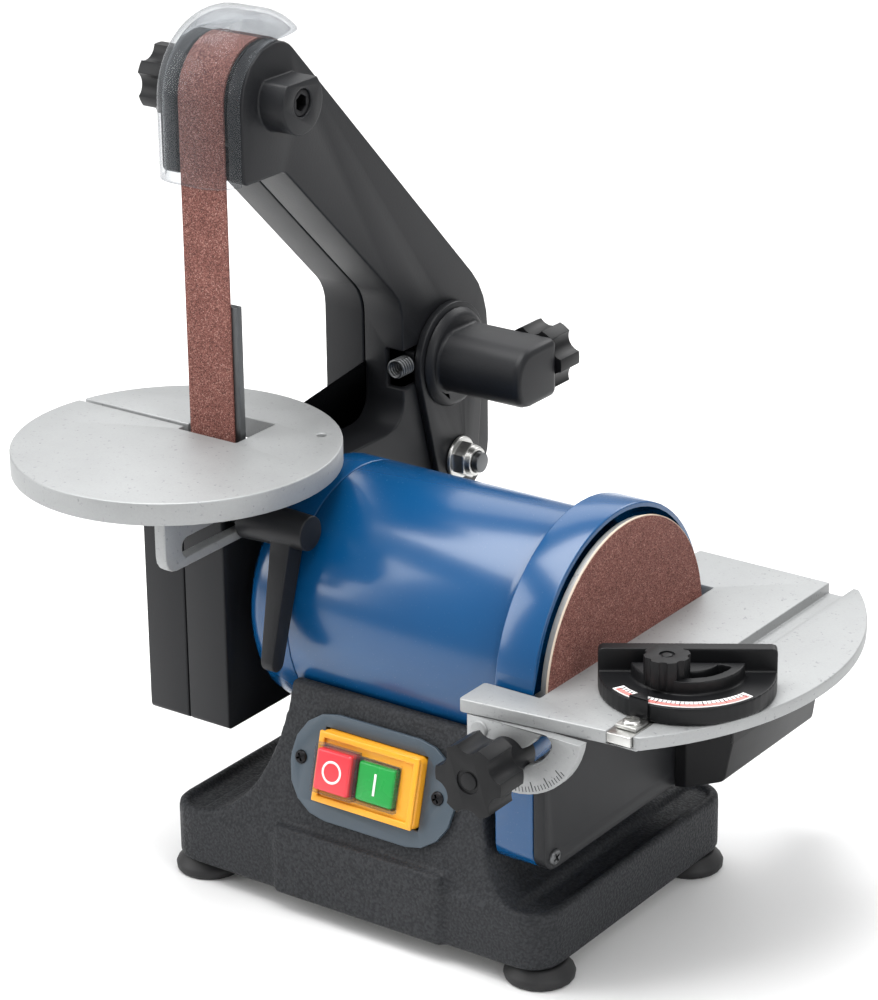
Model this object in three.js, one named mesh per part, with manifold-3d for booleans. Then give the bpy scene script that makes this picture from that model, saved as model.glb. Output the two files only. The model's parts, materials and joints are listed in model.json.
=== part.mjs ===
// A bench belt and disc sander: a 25 mm belt on the left and a 125 mm disc on the right of one motor.
// Sizes are in millimetres. X runs from the belt to the disc, Y from front to back, Z up.
import * as THREE from "three";
import { mergeVertices } from "three/addons/utils/BufferGeometryUtils.js";
import Module from "manifold-3d";

const wasm = await Module();
wasm.setup();

// Clearances
const gap = 0.3; // between neighbours that don't move on each other
const runGap = 0.5; // between neighbours that slide or turn on each other

// Base
const baseLength = 208;
const baseDepth = 156;
const baseCorner = 14;
const footHeight = 8.7;
const footRadius = 16;
const footInset = 12.2; // from the plinth's end to a foot's axis
const plinthTop = 37;
const plinthWall = 4;
const towerTop = 106;
const towerLeft = -44;
const towerRight = 62;
const towerTopHalfDepth = 58;
const flareInset = 18; // from the plinth's end to the foot of the tower's flare
const plinthEdge = 1.5;
const trayDepth = 3;
const trayRim = 4.5;
const plateThickness = 2;

// Motor
const axisHeight = 131;
const motorRadius = 58.3;
const motorLeft = -71;
const motorRight = 72;
const motorSeam = -46;
const motorShoulder = 9;
const motorWall = 4;
const shaftRadius = 8;
const bearingRadius = 16;
const bearingWidth = 10;

// Belt, its three wheels and its arm. A wheel is [y, z, radius out to the belt's grit].
const beltWidth = 25;
const beltThickness = 1;
const beltMiddle = -101.5;
const driveWheel = [0, axisHeight, 38];
const topWheel = [-12, 358, 26];
const tensionWheel = [120.5, 204.5, 24.5];
const wheelWidth = 27;
const axleRadius = 6;
const armWidth = 46;
const armWall = 3.5;
const throatFloor = axisHeight + 46.5;
const beltRoom = 2.5; // the free space kept round the running belt

// Belt table
const beltTableRadius = 74.5;
const beltTableThickness = 10.5;
const beltTableTop = 206;
const beltTableX = -106.9;
const beltTableY = -56.8;
const tableBoltY = -52;
const tableBoltZ = 176;
const tableBoltRadius = 4;

// Disc, its guard and its table
const discRadius = 62.5;
const discFace = 96.2;
const guardRadius = 68;
const guardWall = 3;
const guardRight = 92;
const housingBottom = 53;
const tiltX = 95;
const tiltZ = 137;
const discTableTop = 138.5;
const discTableThickness = 6;
const channelThickness = 8.5; // of the table where the mitre groove runs
const discTableFront = -90.5;
const discTableRear = 104.5;
const discTableLeft = 69.3;
const discTableEnd = [153, 92.5]; // where the outer edge begins: x, and y from the edge's middle
const discEdgeMiddle = 12;
const discTableRight = 188.6;
const trunnionRadius = 35.5;
const trunnionThickness = 5;
const slotRadius = 19;
const studRadius = 3.5;

// Mitre gauge
const grooveX = 144;
const grooveWidth = 12;
const grooveDepth = 5;
const mitrePivotY = -28.2;
const mitreTurn = THREE.MathUtils.degToRad(33);
const mitreRadius = 37.8;
const mitreStudRadius = 16.8;
const mitrePlatformRadius = 24.5;

// Switch, drawn flat as [across, up the slope] from the foot of the sloping face
const slopeFootY = -76;
const slopeFootZ = 38;
const switchCentre = [6.9, 36.5];
const switchPlateSize = [89, 49];
const switchBodyLow = [-20.5, 21];
const switchBodyHigh = [34.5, 54];

const basis = {
  x: new THREE.Matrix4().set(0, 0, 1, 0, 1, 0, 0, 0, 0, 1, 0, 0, 0, 0, 0, 1),
  y: new THREE.Matrix4().set(0, 1, 0, 0, 0, 0, 1, 0, 1, 0, 0, 0, 0, 0, 0, 1),
  z: new THREE.Matrix4(),
};

// A closed three.js geometry as a solid that can be joined and cut.
function solid(geometry) {
  const bare = geometry.clone();
  bare.deleteAttribute("normal");
  bare.deleteAttribute("uv");
  const merged = mergeVertices(bare, 1e-4);
  const corners = [];
  for (let i = 0; i < merged.index.count; i += 3) {
    const [a, b, c] = [0, 1, 2].map((k) => merged.index.getX(i + k));
    if (a !== b && b !== c && c !== a) corners.push(a, b, c);
  }
  return new wasm.Manifold(
    new wasm.Mesh({
      numProp: 3,
      vertProperties: merged.attributes.position.array,
      triVerts: new Uint32Array(corners),
    }),
  );
}

// Turns a geometry drawn round Z so that it stands along an axis, at a place across that axis.
// Across x that place is [y, z], across y it is [x, z] and across z it is [x, y].
function along(axis, geometry, [a, b] = [0, 0]) {
  const across = axis === "y" ? [b, a] : [a, b];
  return solid(geometry.translate(...across, 0).applyMatrix4(basis[axis]));
}

function block([x0, x1], [y0, y1], [z0, z1]) {
  const box = new THREE.BoxGeometry(x1 - x0, y1 - y0, z1 - z0);
  return solid(box.translate((x0 + x1) / 2, (y0 + y1) / 2, (z0 + z1) / 2));
}

// A cylinder or cone from one place to another along an axis.
function rod(axis, from, to, centre, radius, endRadius = radius, sides = 28) {
  const round = new THREE.CylinderGeometry(endRadius, radius, to - from, sides);
  return along(axis, round.rotateX(Math.PI / 2).translate(0, 0, (from + to) / 2), centre);
}

function ring(axis, from, to, centre, radius, bore, sides = 28) {
  return rod(axis, from, to, centre, radius, radius, sides).subtract(
    rod(axis, from - 1, to + 1, centre, bore, bore, sides),
  );
}

// A turned piece. Its profile, [radius, distance along], runs from the axis out and back to it.
function turned(axis, centre, profile, sides = 32) {
  const points = profile.map(([radius, distance]) => new THREE.Vector2(radius, distance));
  return along(axis, new THREE.LatheGeometry(points, sides).rotateX(Math.PI / 2), centre);
}

// Rounds each corner [a, b, radius] of an outline.
function rounded(corners, steps = 4) {
  const points = [];
  corners.forEach(([a, b, radius = 0], i) => {
    const here = new THREE.Vector2(a, b);
    if (radius === 0) {
      points.push(here);
      return;
    }
    const toward = (other) => new THREE.Vector2(other[0], other[1]).sub(here).normalize();
    const before = toward(corners[(i + corners.length - 1) % corners.length]);
    const after = toward(corners[(i + 1) % corners.length]);
    const half = Math.acos(before.dot(after)) / 2;
    const centre = before.clone().add(after).setLength(radius / Math.sin(half)).add(here);
    const start = before.multiplyScalar(radius / Math.tan(half)).add(here).sub(centre);
    const end = after.multiplyScalar(radius / Math.tan(half)).add(here).sub(centre);
    const sweep = Math.atan2(start.cross(end), start.dot(end));
    for (let k = 0; k <= steps; k++) {
      const turn = start.angle() + (sweep * k) / steps;
      points.push(new THREE.Vector2(Math.cos(turn), Math.sin(turn)).multiplyScalar(radius).add(centre));
    }
  });
  return points;
}

// Moves a counter-clockwise outline inwards by a distance.
function inset(corners, distance) {
  return corners.map(([a, b, radius = 0], i) => {
    const [a0, b0] = corners[(i + corners.length - 1) % corners.length];
    const [a1, b1] = corners[(i + 1) % corners.length];
    const before = new THREE.Vector2(a - a0, b - b0).normalize();
    const after = new THREE.Vector2(a1 - a, b1 - b).normalize();
    const share = distance / (1 + before.dot(after));
    const bend = Math.sign(before.cross(after));
    return [
      a - (before.y + after.y) * share,
      b + (before.x + after.x) * share,
      Math.max(radius - bend * distance, 0),
    ];
  });
}

// An outline pushed along an axis, with its end edges rounded over if edge isn't 0.
function prism(axis, from, to, corners, edge = 0) {
  const points = rounded(corners).map((p) => (axis === "y" ? new THREE.Vector2(p.y, p.x) : p));
  const body = new THREE.ExtrudeGeometry(new THREE.Shape(points), {
    depth: to - from - 2 * edge,
    bevelEnabled: edge > 0,
    bevelThickness: edge,
    bevelSize: edge,
    bevelOffset: -edge,
    bevelSegments: 1,
  });
  return along(axis, body.translate(0, 0, from + edge));
}

// The corners of a rectangle with rounded corners.
function rectangle([a0, a1], [b0, b1], radius = 0) {
  return [
    [a0, b0, radius],
    [a1, b0, radius],
    [a1, b1, radius],
    [a0, b1, radius],
  ];
}

// The points of an arc about [a, b], from one angle to another in degrees.
function arc([a, b], radius, from, to, steps) {
  return Array.from({ length: steps + 1 }, (_, k) => {
    const turn = THREE.MathUtils.degToRad(from + ((to - from) * k) / steps);
    return [a + radius * Math.cos(turn), b + radius * Math.sin(turn)];
  });
}

// A bent slot: the outline between two arcs about one centre.
function arcSlot(centre, radius, width, from, to, steps = 12) {
  const outer = arc(centre, radius + width / 2, from, to, steps);
  const inner = arc(centre, radius - width / 2, to, from, steps);
  return [...outer, ...inner];
}

// The outline of a band pulled tight round circles [a, b, radius] given counter-clockwise.
function bandAround(circles, outset = 0) {
  const degrees = THREE.MathUtils.radToDeg;
  const leaving = circles.map(([a, b, radius], i) => {
    const [nextA, nextB, nextRadius] = circles[(i + 1) % circles.length];
    const slant = Math.acos((radius - nextRadius) / Math.hypot(nextA - a, nextB - b));
    return degrees(Math.atan2(nextB - b, nextA - a) - slant);
  });
  return circles.flatMap(([a, b, radius], i) => {
    const start = leaving[(i + circles.length - 1) % circles.length];
    const sweep = (leaving[i] - start + 720) % 360;
    return arc([a, b], radius + outset, start, start + sweep, Math.ceil(sweep / 10));
  });
}

// A grip with rounded lobes round its edge.
function lobedGrip(axis, from, to, centre, radius, lobes) {
  const count = lobes * 6;
  const outline = Array.from({ length: count }, (_, k) => {
    const turn = (2 * Math.PI * k) / count;
    const reach = radius * (0.91 + 0.09 * Math.cos(lobes * turn));
    return [centre[0] + reach * Math.cos(turn), centre[1] + reach * Math.sin(turn)];
  });
  return prism(axis, from, to, outline, 2);
}

const sander = new THREE.Group();
const finishes = {
  texturedBlack: { color: 0x1d1f22, roughness: 0.75, metalness: 0.1 },
  satinBlack: { color: 0x141517, roughness: 0.45, metalness: 0.1 },
  blue: { color: 0x0d4585, roughness: 0.25, metalness: 0.2 },
  castAluminium: { color: 0xb9bcbc, roughness: 0.5, metalness: 0.7 },
  steel: { color: 0xa6a8aa, roughness: 0.3, metalness: 1 },
  iron: { color: 0x55575a, roughness: 0.5, metalness: 0.8 },
  copper: { color: 0x9a5a32, roughness: 0.5, metalness: 0.7 },
  blackPlastic: { color: 0x18191b, roughness: 0.5, metalness: 0 },
  greyPlate: { color: 0x55626d, roughness: 0.4, metalness: 0.2 },
  yellowPlastic: { color: 0xf0a91c, roughness: 0.35, metalness: 0 },
  redPlastic: { color: 0xd5404a, roughness: 0.3, metalness: 0 },
  greenPlastic: { color: 0x1f9a3c, roughness: 0.3, metalness: 0 },
  clearPlastic: { color: 0xe8eef2, roughness: 0.1, metalness: 0, transparent: true, opacity: 0.35 },
  abrasive: { color: 0x7c4238, roughness: 0.95, metalness: 0 },
  rubber: { color: 0x151515, roughness: 0.8, metalness: 0 },
};

function addPart(name, body, finish) {
  const { vertProperties, triVerts } = body.getMesh();
  const geometry = new THREE.BufferGeometry();
  geometry.setAttribute("position", new THREE.BufferAttribute(vertProperties, 3));
  geometry.setIndex(new THREE.BufferAttribute(triVerts, 1));
  geometry.computeVertexNormals();
  const mesh = new THREE.Mesh(geometry, new THREE.MeshStandardMaterial(finishes[finish]));
  mesh.name = name;
  sander.add(mesh);
}

// Base
const baseX = baseLength / 2;
const baseY = baseDepth / 2;
const baseBottom = footHeight + gap;
const motorAxis = [0, axisHeight];
const footX = baseX - footInset;
const footY = baseY - footInset - 3.5;
const footPlaces = {
  front_left: [-footX, -footY],
  front_right: [footX, -footY],
  rear_left: [-footX, footY],
  rear_right: [footX, footY],
};
const slopeAngle = Math.atan2(-towerTopHalfDepth - slopeFootY, towerTop - slopeFootZ);
const slopeFrame = new THREE.Matrix4().makeBasis(
  new THREE.Vector3(1, 0, 0),
  new THREE.Vector3(0, Math.sin(slopeAngle), Math.cos(slopeAngle)),
  new THREE.Vector3(0, -Math.cos(slopeAngle), Math.sin(slopeAngle)),
);
slopeFrame.setPosition(0, slopeFootY, slopeFootZ);
const onSlope = (body) => body.transform([...slopeFrame.elements]);

// The tower's sides sweep down and out to the plinth in quarter ellipses.
function flare(topX, footEnd) {
  return arc([0, 0], 1, 0, 90, 8).map(([level, drop]) => [
    footEnd + (topX - footEnd) * level,
    towerTop - (towerTop - plinthTop) * drop,
  ]);
}

function makeTower() {
  const acrossX = [
    [-baseX + flareInset, plinthTop - trayDepth - 1],
    [baseX - flareInset, plinthTop - trayDepth - 1],
    ...flare(towerRight, baseX - flareInset).reverse(),
    ...flare(towerLeft, -baseX + flareInset),
  ];
  const acrossY = [
    [slopeFootY, plinthTop - trayDepth - 1],
    [-slopeFootY, plinthTop - trayDepth - 1],
    [-slopeFootY, slopeFootZ],
    [towerTopHalfDepth, towerTop, 3],
    [-towerTopHalfDepth, towerTop, 3],
    [slopeFootY, slopeFootZ],
  ];
  return prism("y", -baseY, baseY, acrossX).intersect(prism("x", -baseX, baseX, acrossY));
}

function makeBaseCasting() {
  const outline = rectangle([-baseX, baseX], [-baseY, baseY], baseCorner);
  let body = prism("z", baseBottom, plinthTop, outline, plinthEdge);
  const tray = rectangle([-baseX + trayRim, baseX - trayRim], [-baseY + trayRim, baseY - trayRim], baseCorner - trayRim);
  body = body.subtract(prism("z", plinthTop - trayDepth, plinthTop + 1, tray));
  body = body.add(makeTower());
  const panel = rectangle([-41, 51], [-baseY - 2, -baseY + 20], 1.5);
  body = body.add(prism("z", baseBottom, slopeFootZ + 5, panel));
  body = body.add(prism("z", plinthTop - 4, 60, rectangle([-70, towerLeft], [20, baseY - 3], 4)));
  const inner = rectangle([-towerTopHalfDepth - 10, towerTopHalfDepth + 10], [0, plinthTop - plinthWall]);
  inner[2] = [towerTopHalfDepth - 5, towerTop - 12];
  inner[3] = [-towerTopHalfDepth + 5, towerTop - 12];
  const cavity = prism("x", towerLeft + plinthWall, towerRight - plinthWall, inner)
    .subtract(rod("x", -baseX, baseX, motorAxis, motorRadius + plinthWall))
    .add(block([-baseX + 9, baseX - 9], [-44, 44], [0, plinthTop - 3 - plinthWall]))
    .add(block([-footX + 18, footX - 18], [-baseY + 8, baseY - 8], [0, plinthTop - 3 - plinthWall]));
  body = body.subtract(cavity);
  body = body.subtract(rod("x", -baseX, baseX, motorAxis, motorRadius + gap, motorRadius + gap, 48));
  body = body.subtract(
    block([motorRight - gap, baseX + 9], [-guardRadius - 1, guardRadius + 1], [housingBottom - gap, towerTop]),
  );
  for (const place of Object.values(footPlaces)) {
    body = body.subtract(rod("z", 0, footHeight + 9, place, 5 + gap, 5 + gap, 20));
  }
  const [left, low] = switchBodyLow;
  const [right, high] = switchBodyHigh;
  body = body.subtract(onSlope(block([left - gap, right + gap], [low - gap, high + gap], [-26, 3])));
  for (const x of [-32, 42.6]) {
    body = body.subtract(onSlope(rod("z", -12, 3, [x, 37.6], 1.8 + gap, 1.8 + gap, 16)));
  }
  return body.subtract(rod("y", baseY - 20, baseY + 5, [30, 22], 6 + gap, 6 + gap, 24));
}
addPart("base_casting", makeBaseCasting(), "texturedBlack");

const bottomPlate = block(
  [-baseX + 9 + gap, baseX - 9 - gap],
  [-44 + gap, 44 - gap],
  [baseBottom, baseBottom + plateThickness],
).add(
  block(
    [-footX + 18 + gap, footX - 18 - gap],
    [-baseY + 8 + gap, baseY - 8 - gap],
    [baseBottom, baseBottom + plateThickness],
  ),
);
addPart("bottom_plate", bottomPlate, "steel");

for (const [corner, place] of Object.entries(footPlaces)) {
  const profile = [
    [0, 0],
    [footRadius - 1, 0],
    [footRadius, 1.5],
    [footRadius, 4],
    [footRadius - 4, footHeight],
    [5, footHeight],
    [5, footHeight + 7],
    [0, footHeight + 7],
  ];
  addPart("foot_" + corner, turned("z", place, profile, 20), "rubber");
}

const capacitorRadius = 15;
const capacitorZ = baseBottom + plateThickness + gap + capacitorRadius;
addPart("capacitor", rod("x", -30, 34, [36, capacitorZ], capacitorRadius), "blackPlastic");
addPart(
  "cord_gland",
  rod("y", baseY - 18, baseY + gap, [30, 22], 6, 6, 24).add(
    rod("y", baseY + gap, baseY + 9, [30, 22], 9, 6.5, 24),
  ),
  "rubber",
);

// Switch
function makeSwitchPlate() {
  const [acrossMiddle, upMiddle] = switchCentre;
  const [wide, tall] = switchPlateSize;
  const outline = rectangle(
    [acrossMiddle - wide / 2, acrossMiddle + wide / 2],
    [upMiddle - tall / 2, upMiddle + tall / 2],
    tall / 2 - 2,
  );
  const [left, low] = switchBodyLow;
  const [right, high] = switchBodyHigh;
  let plate = prism("z", gap, gap + 2, outline);
  plate = plate.subtract(block([left - gap, right + gap], [low - gap, high + gap], [-1, 4]));
  for (const x of [-32, 42.6]) plate = plate.subtract(rod("z", -1, 4, [x, 37.6], 1.8 + gap, 1.8 + gap, 16));
  return plate;
}
addPart("switch_plate", onSlope(makeSwitchPlate()), "greyPlate");

const switchProud = 6.3;
const buttons = {
  stop_button: { across: [-17.5, 1.4], up: [28, 47], proud: 12, finish: "redPlastic" },
  start_button: { across: [3.4, 23.5], up: [28, 46], proud: 9, finish: "greenPlastic" },
};
const buttonDepth = 8;

function makeSwitchBody() {
  const outline = rectangle(
    [switchBodyLow[0], switchBodyHigh[0]],
    [switchBodyLow[1], switchBodyHigh[1]],
    3,
  );
  let body = prism("z", -24, switchProud, outline, 1);
  for (const { across, up } of Object.values(buttons)) {
    const well = [across, up].map(([a, b]) => [a - runGap, b + runGap]);
    body = body.subtract(block(...well, [-buttonDepth - 5, switchProud + 1]));
  }
  return body;
}
addPart("switch_body", onSlope(makeSwitchBody()), "yellowPlastic");
for (const [name, { across, up, proud, finish }] of Object.entries(buttons)) {
  addPart(name, onSlope(prism("z", -buttonDepth, proud, rectangle(across, up, 1.5), 0.8)), finish);
}
for (const [side, x] of [
  ["left", -32],
  ["right", 42.6],
]) {
  const screw = rod("z", -10, 2 + 2 * gap, [x, 37.6], 1.8, 1.8, 16).add(
    rod("z", 2 + 2 * gap, 4.4, [x, 37.6], 3.4, 2.8, 20),
  );
  addPart("plate_screw_" + side, onSlope(screw), "iron");
}

// Motor
const bearingLeft = motorLeft + motorWall + 1;
const bearingRight = motorRight - motorWall - 1 - bearingWidth;
const boss = bearingRadius + gap + 3;

// A motor shell is closed at one end, with a seat for a bearing there.
function motorShell(open, end, bearingFrom) {
  const inward = Math.sign(open - end);
  const wallEnd = end + inward * motorWall;
  const seat = [bearingFrom - gap, bearingFrom + bearingWidth + gap];
  const between = (a, b) => [Math.min(a, b), Math.max(a, b)];
  const shoulder = arc([0, 0], motorShoulder, 0, 90, 3).map(([out, along]) => [
    motorRadius - motorShoulder + out,
    end + inward * (motorShoulder - along),
  ]);
  const profile = [[0, open], [motorRadius, open], ...shoulder, [0, end]];
  return turned("x", motorAxis, inward > 0 ? profile.reverse() : profile, 48)
    .subtract(rod("x", ...between(open + inward, wallEnd), motorAxis, motorRadius - motorWall))
    .add(rod("x", ...between(wallEnd, seat[inward > 0 ? 1 : 0]), motorAxis, boss))
    .subtract(rod("x", ...seat, motorAxis, bearingRadius + gap))
    .subtract(rod("x", ...between(end - inward, wallEnd + inward * 20), motorAxis, shaftRadius + runGap));
}
addPart("motor_housing", motorShell(motorSeam, motorRight, bearingRight), "blue");
addPart("motor_end_bell", motorShell(motorSeam - gap, motorLeft, bearingLeft), "blue");
addPart(
  "stator",
  ring("x", motorSeam + 12, 42, motorAxis, motorRadius - motorWall - gap, 31),
  "copper",
);

const wheelLeft = beltMiddle - wheelWidth / 2;
const wheelRight = beltMiddle + wheelWidth / 2;
const rotor = rod("x", wheelLeft, discFace - 4, motorAxis, shaftRadius).add(
  rod("x", motorSeam + 14, 40, motorAxis, 30),
);
addPart("rotor_shaft", rotor, "steel");
for (const [side, from] of [
  ["left", bearingLeft],
  ["right", bearingRight],
]) {
  const bearing = ring("x", from, from + bearingWidth, motorAxis, bearingRadius, shaftRadius + gap);
  addPart("bearing_" + side, bearing, "steel");
}

// Belt arm and its side cover
const armRight = beltMiddle + armWidth / 2;
const armLeft = beltMiddle - armWidth / 2;
const beltFront = driveWheel[0] - driveWheel[2];
const noseTop = topWheel[1] + topWheel[2] - 0.5;
const armRear = tensionWheel[0] + tensionWheel[2] + 3;
const throatRear = tensionWheel[0] - 43;
const housingFront = beltFront - 24;
const housingTop = tableBoltZ + 15;
const armOutline = [
  [housingFront, axisHeight - 58.5, 3],
  [50, axisHeight - 58.5, 12],
  [armRear, axisHeight + 7, 20],
  [armRear, tensionWheel[1] + 20.5, 45],
  [topWheel[0] + 6.65, noseTop, 16],
  [topWheel[0] - topWheel[2], noseTop, topWheel[2] - 1],
  [topWheel[0] - topWheel[2], topWheel[1] - 34, 3],
  [topWheel[0] + 3, topWheel[1] - 34, 6],
  [throatRear, tensionWheel[1] + 34.5, 22],
  [throatRear, throatFloor, 12],
  [beltFront - 2, throatFloor],
  [beltFront - 4, housingTop, 3],
  [housingFront, housingTop, 6],
];
const coverOutline = [
  ...armOutline.slice(0, 10),
  [housingFront, throatFloor, 3],
];
const wheels = [driveWheel, tensionWheel, topWheel];
const beltSides = [beltMiddle - wheelWidth / 2 - 1, beltMiddle + wheelWidth / 2 + 1];

// The way that the belt runs, cut through the walls of the arm and the cover.
const beltWay = prism("x", ...beltSides, bandAround(wheels, beltRoom)).subtract(
  prism("x", ...beltSides, bandAround(wheels, -beltThickness - beltRoom)),
);
// The room that the wheels need inside, and the nose open in front of and over the top wheel.
const wheelRoom = wheels
  .map(([y, z, radius]) => rod("x", ...beltSides, [y, z], radius + beltRoom))
  .reduce((room, next) => room.add(next));

function half(outline, seam, face) {
  const inward = Math.sign(seam - face);
  const between = (a, b) => [Math.min(a, b), Math.max(a, b)];
  return prism("x", ...between(seam, face), outline, 0)
    .subtract(prism("x", ...between(seam + inward, face + inward * armWall), inset(outline, armWall)))
    .subtract(beltWay)
    .subtract(wheelRoom);
}

const tensionSwing = 6.5; // how far the tension wheel's axle moves forward
const platenScrew = [beltMiddle + 7, beltFront + 21];
const pivot = [116, 150];

function makeBeltArm() {
  const nose = [topWheel[0], topWheel[1]];
  const roundBoss = rod("x", armRight - 1, armRight + 13.5, nose, 14.5).subtract(
    block([armRight, armRight + 20], [nose[0] - 20, nose[0] + 20], [nose[1] + 10, nose[1] + 20]),
  );
  let arm = half(armOutline, beltMiddle + gap, armRight)
    .add(roundBoss)
    .add(rod("x", armRight - 1, motorLeft - gap, motorAxis, 30))
    .subtract(rod("x", armRight - 9, motorLeft + 1, motorAxis, shaftRadius + 4))
    .subtract(rod("x", armRight - 30, armRight + 20, nose, axleRadius + gap, axleRadius + gap, 24));
  const [tensionY, tensionZ] = tensionWheel;
  const slot = axleRadius + 1;
  const slotOutline = rectangle(
    [tensionY - tensionSwing - slot, tensionY + slot],
    [tensionZ - slot, tensionZ + slot],
    slot - 0.5,
  );
  arm = arm.subtract(prism("x", armRight - 10, armRight + 1, slotOutline));
  arm = arm.subtract(block([armRight - 10, armRight + 1], [tensionY - 52, tensionY - 30], [tensionZ - 9, tensionZ + 10]));
  arm = arm.subtract(rod("x", armRight - 10, armRight + 1, pivot, 5 + gap, 5 + gap, 20));
  const boltPlace = [tableBoltY, tableBoltZ];
  arm = arm.add(
    block(
      [armRight - 8, armRight - 1],
      [tableBoltY - 9, tableBoltY + 9],
      [tableBoltZ - 12, housingTop - 1],
    ),
  );
  arm = arm.subtract(rod("x", armRight - 7, armRight + 1, boltPlace, tableBoltRadius + gap, tableBoltRadius + gap, 20));
  return arm.subtract(rod("z", throatFloor - 6, throatFloor + 1, platenScrew, 2 + gap, 2 + gap, 16));
}
addPart("belt_arm", makeBeltArm(), "satinBlack");

const sideCover = half(coverOutline, beltMiddle - gap, armLeft).subtract(
  rod("x", armLeft - 1, armLeft + armWall + 1, [topWheel[0], topWheel[1]], axleRadius + 1),
);
addPart("side_cover", sideCover, "satinBlack");

// Wheels, axles and belt
const toBelt = beltThickness + gap;
function beltWheel([y, z, radius], bore) {
  const rim = radius - toBelt;
  const web = [wheelLeft - 1, wheelLeft + 7];
  const dish = (from, to) => ring("x", from, to, [y, z], rim - 4, bore + 6);
  return ring("x", wheelLeft, wheelRight, [y, z], rim, bore, 32)
    .subtract(dish(...web))
    .subtract(dish(wheelRight - 7, wheelRight + 1));
}
addPart("drive_wheel", beltWheel(driveWheel, shaftRadius + gap), "castAluminium");
addPart("top_wheel", beltWheel(topWheel, axleRadius + runGap), "blackPlastic");
addPart("tension_wheel", beltWheel(tensionWheel, axleRadius + runGap), "blackPlastic");

const belt = prism("x", beltMiddle - beltWidth / 2, beltMiddle + beltWidth / 2, bandAround(wheels)).subtract(
  prism("x", wheelLeft, wheelRight, bandAround(wheels, -beltThickness)),
);
addPart("sanding_belt", belt, "abrasive");

const knobStudRadius = 3;
const topAxle = rod("x", armLeft + armWall + 1.5, armRight + 12.5, topWheel, axleRadius, axleRadius, 32)
  .subtract(rod("x", armRight + 7, armRight + 14, topWheel, 4, 4, 6))
  .subtract(rod("x", armLeft, armLeft + 10, topWheel, knobStudRadius + runGap, knobStudRadius + runGap, 20));
addPart("top_axle", topAxle, "steel");

const coverKnob = lobedGrip("x", armLeft - 29, armLeft - 13, topWheel, 16, 6)
  .add(rod("x", armLeft - 14, armLeft - runGap, topWheel, 8, 10, 24))
  .add(rod("x", armLeft - 1, armLeft + 8, topWheel, knobStudRadius, knobStudRadius, 20));
addPart("cover_knob", coverKnob, "blackPlastic");

const platenTop = 267;
const platenBack = beltFront + beltThickness + 4;
const platenSides = [beltMiddle - 13, beltMiddle + 15.5];
const platen = block(platenSides, [beltFront + beltThickness + gap, platenBack], [throatFloor + gap, platenTop])
  .add(block(platenSides, [platenBack - 1, platenScrew[1] + 7], [throatFloor + gap, throatFloor + 3.5]))
  .subtract(rod("z", throatFloor, throatFloor + 5, platenScrew, 2 + gap, 2 + gap, 16));
addPart("platen", platen, "steel");
addPart(
  "platen_screw",
  rod("z", throatFloor - 4, throatFloor + 3.5 + gap, platenScrew, 2, 2, 16).add(
    rod("z", throatFloor + 3.5 + gap, throatFloor + 6.5, platenScrew, 4, 3.4, 20),
  ),
  "iron",
);

// Clear guard over the top wheel
const guardOutset = 12;
const guardShell = 2.5;
const guardOutline = [
  [topWheel[0] - topWheel[2] - guardOutset, topWheel[1] - 34, 0],
  [topWheel[0] + 24, topWheel[1] - 34, 0],
  [topWheel[0] + 24, topWheel[1] + topWheel[2] + guardOutset, 4],
  [topWheel[0] - topWheel[2] - guardOutset, topWheel[1] + topWheel[2] + guardOutset, topWheel[2] + guardOutset - 1],
];
function makeBeltGuard() {
  const hollow = guardOutline.map((corner) => [...corner]);
  for (const corner of hollow.slice(0, 2)) corner[1] -= 20;
  for (const corner of hollow.slice(1, 3)) corner[0] += 20;
  const insideOutline = inset(hollow, guardShell);
  const plan = rectangle(
    [armLeft, armRight],
    [guardOutline[0][0], guardOutline[1][0] + 20],
    13,
  );
  const insidePlan = inset(plan, guardShell);
  const shell = prism("x", armLeft, armRight, guardOutline).intersect(
    prism("z", topWheel[1] - 60, topWheel[1] + 60, plan),
  );
  const inside = prism("x", armLeft + guardShell, armRight - guardShell, insideOutline).intersect(
    prism("z", topWheel[1] - 60, topWheel[1] + 60, insidePlan),
  );
  return shell.subtract(inside).subtract(prism("x", armLeft - 1, armRight + 1, inset(coverOutline, -runGap)));
}
addPart("belt_guard", makeBeltGuard(), "clearPlastic");

// Tension lever
const leverFrom = armRight + gap;
const leverTo = leverFrom + 4;
const headCentre = [112, 203];
const leverOutline = bandAround([
  [...pivot, 17],
  [...headCentre, 27],
]);
const lug = block(
  [armRight - 6, leverFrom + 1],
  [tensionWheel[0] - 34, tensionWheel[0] - 31],
  [tensionWheel[1] - 4, tensionWheel[1] + 7],
);
const tensionLever = prism("x", leverFrom, leverTo, leverOutline, 0)
  .add(lug)
  .subtract(rod("x", leverFrom - 1, leverTo + 1, pivot, 5 + gap, 5 + gap, 20))
  .subtract(rod("x", leverFrom - 1, leverTo + 1, tensionWheel, axleRadius + gap, axleRadius + gap, 24));
addPart("tension_lever", tensionLever, "satinBlack");
addPart(
  "tension_axle",
  rod("x", wheelLeft - 2, leverTo + 8, tensionWheel, axleRadius, axleRadius, 28),
  "steel",
);

const boxFrom = leverTo + gap;
const boxTo = -24;
const boxOutline = [
  [93, 189, 12],
  [127, 189, 4],
  [127, 218, 4],
  [93, 218, 13],
];
const tensionBox = prism("x", boxFrom, boxTo, boxOutline, 2)
  .add(rod("x", boxFrom, boxFrom + 4, headCentre, 25, 22))
  .subtract(rod("x", boxFrom - 1, leverTo + 9, tensionWheel, axleRadius + gap, axleRadius + gap, 24))
  .subtract(rod("y", 115, 130, [-38, 204], 3.5, 3.5, 20));
addPart("tension_housing", tensionBox, "satinBlack");

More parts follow.
